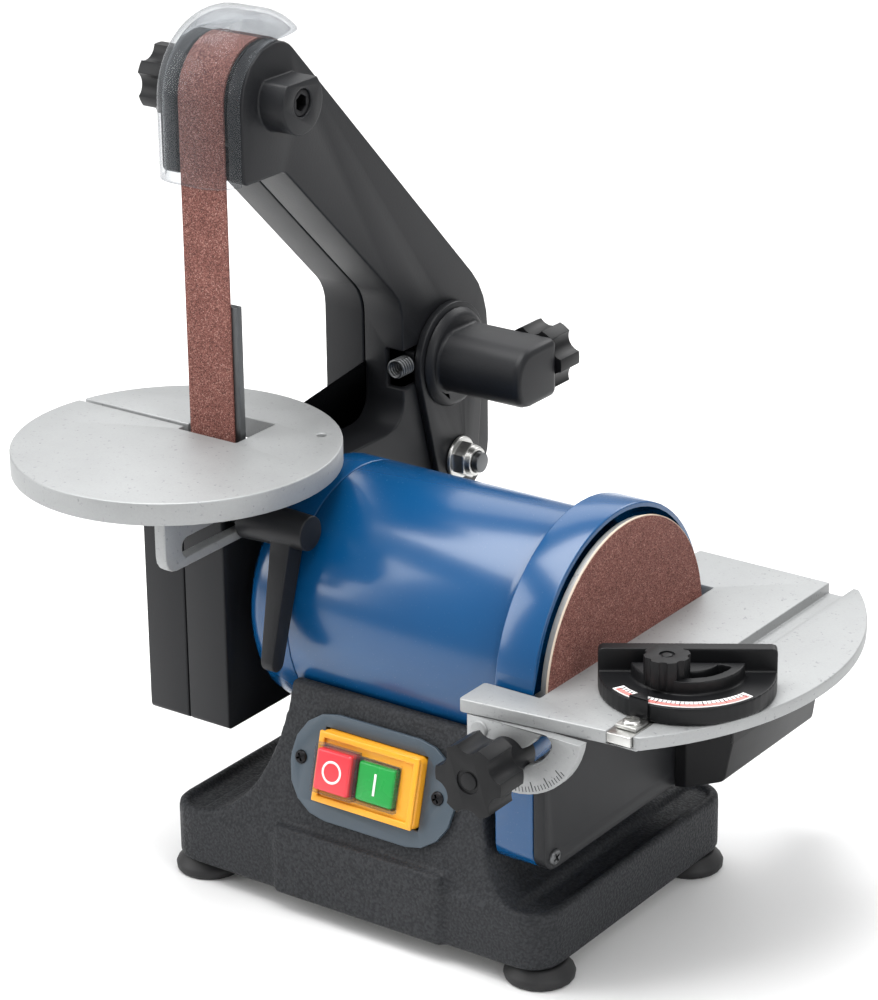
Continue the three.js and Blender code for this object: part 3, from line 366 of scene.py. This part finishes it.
def addBlock(low, high):
    low, high = Vector(low), Vector(high)
    bpy.ops.mesh.primitive_cube_add(size=1, location=(low + high) / 2, scale=high - low)
    bpy.ops.object.transform_apply(location=True, rotation=True, scale=True)
    return bpy.context.object


# Picks what passes a test, and leaves the piece in edit mode with it selected.
def pick(piece, kind, test):
    onlySelect(piece)
    bpy.ops.object.mode_set(mode="EDIT")
    bpy.ops.mesh.select_mode(type=kind)
    bpy.ops.mesh.select_all(action="DESELECT")
    bpy.ops.object.mode_set(mode="OBJECT")
    parts = {"FACE": piece.data.polygons, "EDGE": piece.data.edges, "VERT": piece.data.vertices}[kind]
    for part in parts:
        part.select = test(part)
    bpy.ops.object.mode_set(mode="EDIT")


def joinPieces(pieces):
    onlySelect(pieces[0])
    for piece in pieces:
        piece.select_set(True)
    bpy.ops.object.join()
    return bpy.context.object


def copyPiece(piece, move=(0, 0, 0), turn=None):
    copied = piece.copy()
    copied.data = piece.data.copy()
    bpy.context.collection.objects.link(copied)
    place = Matrix.Translation(Vector(move)) @ (turn or Matrix.Identity(4))
    copied.data.transform(place)
    return copied


# Parts of the machine are placed in its own millimetres: X along the motor, Y to the back, Z up.
shift = Vector((-3.6, -9.35, 0))


def at(x, y, z):
    return (Vector((x, y, z)) + shift) * mm


def cutWith(piece, cutter, solver="EXACT"):
    modify(piece, "BOOLEAN", operation="DIFFERENCE", object=cutter, solver=solver)
    bpy.data.objects.remove(cutter)
    return piece


def flatRod(start, end, radius, place=(0, 0), sides=48, endRadius=None):
    x, y = place
    low, high = Vector((x, y, start)) * mm, Vector((x, y, end)) * mm
    narrow = None if endRadius is None else endRadius * mm
    return addRod("z", low, high, radius * mm, sides, narrow)


def flatBlock(low, high):
    return addBlock(Vector(low) * mm, Vector(high) * mm)


# A grip with hollows round its edge and a sunk middle. It stands up from z = 0.
def makeGrip(look):
    radius, depth, lobes = look["radius"], look["depth"], look["lobes"]
    grip = flatRod(0, depth, radius, sides=96)
    hollow = look["hollow"]
    away = radius + hollow * 0.48
    angles = [2 * math.pi * (k + 0.5) / lobes for k in range(lobes)]
    cutters = [
        flatRod(-2, depth + 2, hollow, (away * math.cos(angle), away * math.sin(angle)), 40)
        for angle in angles
    ]
    cutWith(grip, joinPieces(cutters))
    cutWith(grip, flatRod(depth - 0.9, depth + 2, radius * 0.34))
    modify(grip, "BEVEL", width=radius * 0.09 * mm, segments=4, limit_method="ANGLE", angle_limit=math.radians(35))
    collar = flatRod(-look["collar"], 0.4, look["collarEnd"], endRadius=look["collarTop"])
    cap = flatRod(depth - 2, depth - 0.2, radius * 0.24, sides=32)
    modify(cap, "BEVEL", width=0.5 * mm, segments=3, limit_method="ANGLE", angle_limit=math.radians(35))
    stem = flatRod(-look["stem"], 0.2, look["stemRadius"], sides=32)
    return joinPieces([grip, collar, cap, stem])


# A round-headed screw with a cross in its head. The underside of its head is at z = 0.
def makeCrossScrew(radius, height, stem):
    head = flatRod(0, height, radius, endRadius=radius * 0.86, sides=40)
    modify(head, "BEVEL", width=height * 0.42 * mm, segments=4, limit_method="ANGLE", angle_limit=math.radians(50))
    slot = radius * 0.14
    arm = radius * 0.6
    cutWith(head, flatBlock((-arm, -slot, height * 0.45), (arm, slot, height + 1)))
    cutWith(head, flatBlock((-slot, -arm, height * 0.45), (slot, arm, height + 1)))
    shank = flatRod(-stem, 0.2, radius * 0.5, sides=24)
    return joinPieces([head, shank])


def placed(piece, place, turn=None):
    piece.matrix_world = Matrix.Translation(place) @ (turn or Matrix.Identity(4))
    return piece


towardLeft = Matrix.Rotation(math.radians(-90), 4, "Y")
towardRight = Matrix.Rotation(math.radians(90), 4, "Y")
towardFront = Matrix.Rotation(math.radians(90), 4, "X")
towardBack = Matrix.Rotation(math.radians(-90), 4, "X")

# Pieces carried over with their edges rounded
carried = {
    "satinBlack": {
        "belt_arm": 0.9,
        "side_cover": 0.9,
        "tension_lever": 0.8,
        "tension_housing": 1.6,
        "disc_lower_cover": 0.5,
        "clamp_lever": 0.6,
    },
    "bluePaint": {"disc_guard": 0.7, "disc_lower_housing": 0.8, "motor_housing": 0.5, "motor_end_bell": 0.5},
    "castAluminium": {
        "belt_table": 0.7,
        "belt_table_bracket": 0.8,
        "disc_table": 0.6,
        "front_trunnion": 0.6,
        "rear_trunnion": 0.6,
    },
    "machinedAluminium": {"disc_plate": 0.4, "drive_wheel": 0.4},
    "zinc": {"pivot_nut": 0.4, "mitre_bar": 0.3, "mitre_pointer": 0.25, "clamp_screw": 0.4},
    "darkSteel": {"platen": 0.4, "pivot_bolt": 0.4, "trunnion_bolt_rear": 0.4},
    "blackSteel": {"top_axle": 0.3},
    "blackPlastic": {"dust_port": 0.8, "top_wheel": 0.5, "tension_wheel": 0.5},
    "greyPlate": {"switch_plate": 0.35},
    "yellowPlastic": {"switch_body": 0.7},
    "redPlastic": {"stop_button": 0.5},
    "greenPlastic": {"start_button": 0.5},
    "rubber": {
        "cord_gland": 0.6,
        "foot_front_left": 0.9,
        "foot_front_right": 0.9,
        "foot_rear_left": 0.9,
        "foot_rear_right": 0.9,
    },
}
for finish, nodes in carried.items():
    for node, width in nodes.items():
        softenedCopy(node, finish, width)

hidden = {
    "zinc": ["bottom_plate", "tension_axle", "rotor_shaft", "bearing_left", "bearing_right"],
    "winding": ["stator"],
    "blackPlastic": ["capacitor"],
    "abrasive": ["sanding_belt", "abrasive_disc"],
}
for finish, nodes in hidden.items():
    for node in nodes:
        frame["nodes"][node].data.materials.clear()
        frame["nodes"][node].data.materials.append(finishes[finish])
print("carried pieces done")

# Castings and mouldings with soft edges all over are rebuilt from small even faces and smoothed.
castings = {
    "base_casting": {"cell": 1.25, "passes": 6, "finish": "texturedBlack"},
    "mitre_head": {"cell": 0.5, "passes": 4, "finish": "blackPlastic"},
}
for node, look in castings.items():
    shell = bpy.data.objects.new(node + "_shell", frame["nodes"][node].data.copy())
    bpy.context.collection.objects.link(shell)
    modify(shell, "REMESH", mode="VOXEL", voxel_size=look["cell"] * mm)
    modify(shell, "SMOOTH", factor=0.5, iterations=look["passes"])
    finishPiece(shell, node + "_shell", look["finish"], bodyOf[node], [node], 60)
    print(node, "done:", len(shell.data.polygons), "faces")

# Clear guard over the top wheel: a thin rounded dome, open below, cut away where the arm's nose fills it
visor = {
    "left": -124.5, "right": -78.5, "front": -50, "rear": 26, "low": 324, "high": 396, "brow": 37.9,
    "shoulder": 16, "wall": 2.4, "nose": (-38.6, 384.1), "noseRound": 26,
}


def touches(shape, part, side, place):
    return all(abs(shape.data.vertices[i].co[side] - place) < 2e-5 for i in part.vertices)


# A block rounded over in front, behind and along both sides
def makeDome(inset, drop):
    low = at(visor["left"] + inset, visor["front"] + inset, visor["low"] - drop)
    high = at(visor["right"] - inset, visor["rear"] - inset, visor["high"] - inset)
    dome = addBlock(low, high)
    pick(dome, "EDGE", lambda edge: touches(dome, edge, 2, high.z)
         and (touches(dome, edge, 1, low.y) or touches(dome, edge, 1, high.y)))
    bpy.ops.mesh.bevel(offset=(visor["brow"] - inset) * mm, segments=24, affect="EDGES")
    pick(dome, "EDGE", lambda edge: (touches(dome, edge, 0, low.x) or touches(dome, edge, 0, high.x))
         and not touches(dome, edge, 2, low.z))
    bpy.ops.mesh.bevel(offset=(visor["shoulder"] - inset) * mm, segments=9, affect="EDGES")
    onlySelect(dome)
    return dome


def makeVisor():
    piece = makeDome(0, 0)
    cutWith(piece, makeDome(visor["wall"], 12))
    noseFront, noseTop = visor["nose"]
    noseLow = at(visor["left"] - 15, noseFront, visor["low"] - 24)
    noseHigh = at(visor["right"] + 15, visor["rear"] + 14, noseTop)
    nose = addBlock(noseLow, noseHigh)
    pick(nose, "EDGE", lambda edge: touches(nose, edge, 1, noseLow.y) and touches(nose, edge, 2, noseHigh.z))
    bpy.ops.mesh.bevel(offset=visor["noseRound"] * mm, segments=14, affect="EDGES")
    cutWith(piece, nose, "FAST")
    modify(piece, "BEVEL", width=0.5 * mm, segments=2, limit_method="ANGLE", angle_limit=math.radians(50))
    return finishPiece(piece, "guard_visor", "clear", "frame", ["belt_guard"], 40)


makeVisor()
print("visor done")

# Knobs
knobs = {
    "cover_knob": {
        "radius": 16, "depth": 16, "lobes": 6, "hollow": 6.8, "collar": 12.5, "collarEnd": 10,
        "collarTop": 8, "stem": 21, "stemRadius": 3, "place": at(-137.5, -12, 358), "turn": towardLeft,
    },
    "tracking_knob": {
        "radius": 16.5, "depth": 16, "lobes": 6, "hollow": 6.8, "collar": 6.5, "collarEnd": 8,
        "collarTop": 9, "stem": 16, "stemRadius": 3, "place": at(-38, 134, 204), "turn": towardBack,
    },
    "trunnion_knob_front": {
        "radius": 16.5, "depth": 17, "lobes": 6, "hollow": 6.8, "collar": 20.4, "collarEnd": 8.6,
        "collarTop": 9.4, "stem": 38, "stemRadius": 3.5, "place": at(94, -110.5, 118), "turn": towardFront,
    },
    "mitre_knob": {
        "radius": 9.8, "depth": 12.5, "lobes": 8, "hollow": 2.2, "collar": 1.4, "collarEnd": 7,
        "collarTop": 7, "stem": 19, "stemRadius": 2.5, "place": at(144, -45, 154.5), "turn": Matrix.Identity(4),
    },
}
for node, look in knobs.items():
    grip = placed(makeGrip(look), look["place"], look["turn"])
    finishPiece(grip, node + "_grip", "blackPlastic", bodyOf[node], [node], 30)
print("knobs done")

# Screws
lean = math.atan2(18, 68)
slopeTurn = Matrix.Rotation(math.radians(90) - lean, 4, "X")
slopeFoot = at(0, -76, 38)


def onSlope(across, up, out):
    return slopeFoot + slopeTurn @ (Vector((across, up, out)) * mm)


def screwLook(size, place, turn, finish):
    return {"size": size, "place": place, "turn": turn, "finish": finish}


upright = Matrix.Identity(4)
screws = {
    "plate_screw_left": screwLook((3.4, 2.1, 12), onSlope(-32, 37.6, 2.4), slopeTurn, "blackSteel"),
    "plate_screw_right": screwLook((3.4, 2.1, 12), onSlope(42.6, 37.6, 2.4), slopeTurn, "blackSteel"),
    "cover_screw": screwLook((4, 2.1, 10), at(98.2, -60, 59), towardRight, "darkSteel"),
    "mitre_screw": screwLook((4.4, 2.4, 3.5), at(144, -71.8, 140.2), upright, "zinc"),
    "platen_screw": screwLook((4, 2.6, 7), at(-94.5, -17, 181.3), upright, "darkSteel"),
}
crossTurn = 0.5  # of each screw's cross, so that none lies square
for node, look in screws.items():
    screw = placed(makeCrossScrew(*look["size"]), look["place"], look["turn"] @ Matrix.Rotation(crossTurn, 4, "Z"))
    finishPiece(screw, node + "_head", look["finish"], bodyOf[node], [node], 30)
print("screws done")

# Tension spring, wound round a line along Y behind its opening in the arm
coil = {"wire": 0.75, "radius": 4, "turns": 5.5, "start": 74.5, "end": 84.5, "x": -81.5, "z": 206}
coilStart = at(coil["x"], coil["start"], coil["z"])
bpy.ops.mesh.primitive_circle_add(radius=coil["wire"] * mm, vertices=12, location=coilStart)
spring = bpy.context.object
onlySelect(spring)
bpy.ops.object.mode_set(mode="EDIT")
bpy.ops.transform.translate(value=(coil["radius"] * mm, 0, 0))
bpy.ops.object.mode_set(mode="OBJECT")
coilSteps = int(24 * coil["turns"])
modify(
    spring, "SCREW",
    axis="Y", angle=2 * math.pi * coil["turns"], screw_offset=(coil["end"] - coil["start"]) * mm,
    steps=coilSteps, render_steps=coilSteps,
)
pick(spring, "EDGE", lambda edge: False)
bpy.ops.mesh.select_non_manifold()
bpy.ops.mesh.edge_face_add()
finishPiece(spring, "spring_coil", "darkSteel", "tension_arm", ["tension_spring"], 60)
print("spring done")


# Switch: clear frames round the buttons, the marks on them and a raised rim round the yellow body
def frameRound(name, across, up, low, high, wall, finish, radius):
    piece = flatBlock((across[0], up[0], low), (across[1], up[1], high))
    cutWith(piece, flatBlock((across[0] + wall, up[0] + wall, low - 1), (across[1] - wall, up[1] - wall, high + 1)))
    modify(piece, "BEVEL", width=radius * mm, segments=3, limit_method="ANGLE", angle_limit=math.radians(35))
    placed(piece, slopeFoot, slopeTurn)
    return finishPiece(piece, name, finish, "frame")


switch = {
    "rim": (6.2, 7.8, 3),
    "stopHood": (6.4, 11.2, 1.1),
    "startHood": (6.4, 9.2, 1.1),
    "ring": 4.7,
    "stroke": 0.55,
}
frameRound("switch_rim", (-20.2, 34.2), (21.3, 53.7), *switch["rim"], "yellowPlastic", 0.6)
frameRound("stop_hood", (-19.3, 3.1), (26.3, 48.7), *switch["stopHood"], "clear", 0.35)
frameRound("start_hood", (1.9, 25), (26.5, 47.5), *switch["startHood"], "clear", 0.35)
bpy.ops.mesh.primitive_torus_add(
    major_radius=switch["ring"] * mm, minor_radius=switch["stroke"] * mm, major_segments=64, minor_segments=12,
)
nought = bpy.context.object
nought.scale = (1, 1, 0.4)
bpy.ops.object.transform_apply(location=True, rotation=True, scale=True)
placed(nought, onSlope(-8.05, 37.5, 12.1), slopeTurn)
finishPiece(nought, "stop_mark", "paleMark", "stop_button")
stroke = flatBlock((-0.6, -5, 0), (0.6, 5, 0.3))
modify(stroke, "BEVEL", width=0.12 * mm, segments=2, limit_method="ANGLE", angle_limit=math.radians(35))
placed(stroke, onSlope(13.45, 37, 9.05), slopeTurn)
finishPiece(stroke, "start_mark", "paleMark", "start_button")
print("switch done")


# A flat band bent round [x, y], from one angle to another, standing on z = low
def bentBand(inner, outer, low, high, start, end, steps):
    centre = ((inner + outer) / 2 * mm, 0, (low + high) / 2 * mm)
    bpy.ops.mesh.primitive_plane_add(size=1, location=centre, rotation=(math.pi / 2, 0, 0))
    piece = bpy.context.object
    piece.scale = ((outer - inner) * mm, (high - low) * mm, 1)
    bpy.ops.object.transform_apply(location=True, rotation=True, scale=True)
    onlySelect(piece)
    bpy.ops.object.mode_set(mode="EDIT")
    bpy.ops.mesh.select_all(action="SELECT")
    bpy.ops.mesh.spin(steps=steps, angle=math.radians(start - end), center=(0, 0, 0), axis=(0, 0, 1))
    bpy.ops.mesh.select_all(action="DESELECT")
    bpy.ops.mesh.select_non_manifold()
    bpy.ops.mesh.edge_face_add()
    bpy.ops.object.mode_set(mode="OBJECT")
    piece.data.transform(Matrix.Rotation(math.radians(start), 4, "Z"))
    return piece


# Copies a short and a long mark round an axis, every fifth one long, and joins them
def spreadMarks(short, long, angles, axis):
    marks = []
    for k, angle in enumerate(angles):
        marks.append(copyPiece(long if k % 5 == 0 else short, turn=Matrix.Rotation(angle, 4, axis)))
    bpy.data.objects.remove(short)
    bpy.data.objects.remove(long)
    return joinPieces(marks)


# Mitre gauge: its scale with fine marks, and the pointer that reads it
mitre = {
    "pivot": at(144, -28.2, 146.6),
    "turn": math.radians(33),
    "scale": (31.2, 36.6),
    "reach": (-150, -44),
    "marks": 30,
}
headTurn = Matrix.Rotation(mitre["turn"], 4, "Z")
inner, outer = mitre["scale"]
start, end = mitre["reach"]
strip = placed(bentBand(inner, outer, 0, 0.3, start, end, 48), mitre["pivot"], headTurn)
finishPiece(strip, "mitre_scale", "paleMark", "mitre_head")
blush = placed(bentBand(inner + 2.6, outer - 0.5, 0.2, 0.42, start + 2, end - 2, 48), mitre["pivot"], headTurn)
finishPiece(blush, "mitre_scale_band", "pinkMark", "mitre_head")
tick = flatBlock((inner + 0.6, -0.14, 0.25), (inner + 3, 0.14, 0.5))
longTick = flatBlock((inner + 0.6, -0.2, 0.25), (inner + 4.4, 0.2, 0.52))
spread = (end - start - 8) / mitre["marks"]
angles = [math.radians(start + 4 + spread * k) for k in range(mitre["marks"] + 1)]
marks = placed(spreadMarks(tick, longTick, angles, "Z"), mitre["pivot"], headTurn)
finishPiece(marks, "mitre_marks", "darkMark", "mitre_head")
clip = {"middle": 144, "width": 9, "thick": 1.1, "front": -67.4, "low": 140.3, "high": 149.6, "tip": -60}
clipLeft, clipRight = clip["middle"] - clip["width"] / 2, clip["middle"] + clip["width"] / 2
stem = addBlock(
    at(clipLeft, clip["front"], clip["low"]),
    at(clipRight, clip["front"] + clip["thick"], clip["high"]),
)
tongue = addBlock(
    at(clipLeft, clip["front"], clip["high"] - clip["thick"]),
    at(clipRight, clip["tip"], clip["high"]),
)
pick(tongue, "VERT", lambda spot: spot.co.y > at(0, clip["tip"], 0).y - 2e-5)
bpy.ops.transform.resize(value=(0.12, 1, 1), center_override=tuple(at(clip["middle"], clip["tip"], clip["high"])))
bpy.ops.object.mode_set(mode="OBJECT")
arrow = joinPieces([stem, tongue])
modify(arrow, "BEVEL", width=0.35 * mm, segments=2, limit_method="ANGLE", angle_limit=math.radians(35))
finishPiece(arrow, "mitre_arrow", "blackPlastic", "mitre_bar")
print("mitre done")

# Disc table: degree marks on the front trunnion and the pin at its inner end
dial = {"centre": at(95, -89.55, 137), "inner": 30.6, "outer": 34.2, "first": -100, "step": 3, "count": 22}
tick = flatBlock((dial["inner"] + 1.2, -0.05, -0.16), (dial["outer"], 0.35, 0.16))
longTick = flatBlock((dial["inner"] - 0.8, -0.05, -0.22), (dial["outer"], 0.35, 0.22))
angles = [math.radians(-dial["first"] - dial["step"] * k) for k in range(dial["count"])]
marks = placed(spreadMarks(tick, longTick, angles, "Y"), dial["centre"])
finishPiece(marks, "trunnion_marks", "darkMark", "disc_table")
pin = placed(flatRod(0, 2.2, 4.2), at(79.5, -89.4, 126.5), towardFront)
modify(pin, "BEVEL", width=0.9 * mm, segments=3, limit_method="ANGLE", angle_limit=math.radians(35))
finishPiece(pin, "trunnion_pin", "castAluminium", "disc_table")
print("trunnion done")

# Cloth backing that shows round the rim of the abrasive disc
backing = addRod("x", at(95, 0, 131), at(95.9, 0, 131), 62.9 * mm, 128)
finishPiece(backing, "disc_backing", "creamBacking", "rotor")
print("disc done")

# Floor, lamps and camera
bpy.ops.mesh.primitive_plane_add(size=8, location=(0, 0, 0))
floor = bpy.context.object
floor.name = "floor"
floorFinish = Finish("floorFinish", (0.86, 0.86, 0.86), 0.7)
floorShade = floorFinish.blend(floorFinish.noise(300, 2.0), (0.84, 0.84, 0.84), (0.88, 0.88, 0.88))
floorFinish.set("Base Color", floorShade)
floor.data.materials.append(floorFinish.material)

lamps = {
    "overhead": {"place": (-0.15, -0.2, 1.5), "aim": (0, 0, 0.1), "size": (1.3, 1.0), "power": 30},
    "left": {"place": (-1.3, -1.0, 0.9), "aim": (0, 0, 0.2), "size": (0.8, 1.2), "power": 15},
    "right": {"place": (1.5, -0.5, 0.9), "aim": (0, 0, 0.15), "size": (0.7, 1.2), "power": 10},
    "behind": {"place": (0.2, 1.4, 1.1), "aim": (0, 0, 0.2), "size": (1.2, 0.8), "power": 10},
    "backdrop": {"place": (-1.2, 1.9, 1.5), "aim": (-1.3, 2.0, 0), "size": (2.2, 2.2), "power": 26},
}
for name, lamp in lamps.items():
    light = bpy.data.lights.new(name, "AREA")
    light.shape = "RECTANGLE"
    light.size, light.size_y = lamp["size"]
    light.energy = lamp["power"]
    holder = bpy.data.objects.new(name, light)
    bpy.context.collection.objects.link(holder)
    holder.location = lamp["place"]
    aim = Vector(lamp["aim"]) - holder.location
    holder.rotation_euler = aim.to_track_quat("-Z", "Y").to_euler()

world = bpy.data.worlds.new("studio")
world.use_nodes = True
background = world.node_tree.nodes["Background"]
background.inputs["Color"].default_value = (1, 1, 1, 1)
background.inputs["Strength"].default_value = 0.46
bpy.context.scene.world = world
bpy.context.scene.view_settings.view_transform = "Standard"

view = {
    "azimuth": 35.48,
    "elevation": 21.84,
    "roll": -0.68,
    "distance": 1.56074,
    "lens": 126.66,
    "aim": (-0.0025, -0.0160, 0.1852),
}
camera = bpy.data.objects.new("camera", bpy.data.cameras.new("camera"))
bpy.context.collection.objects.link(camera)
camera.data.lens = view["lens"]
turn = Matrix.Rotation(math.radians(view["azimuth"]), 4, "Z")
turn = turn @ Matrix.Rotation(math.radians(90 - view["elevation"]), 4, "X")
turn = turn @ Matrix.Rotation(math.radians(view["roll"]), 4, "Z")
camera.matrix_world = Matrix.Translation(Vector(view["aim"])) @ turn @ Matrix.Translation((0, 0, view["distance"]))
bpy.context.scene.camera = camera
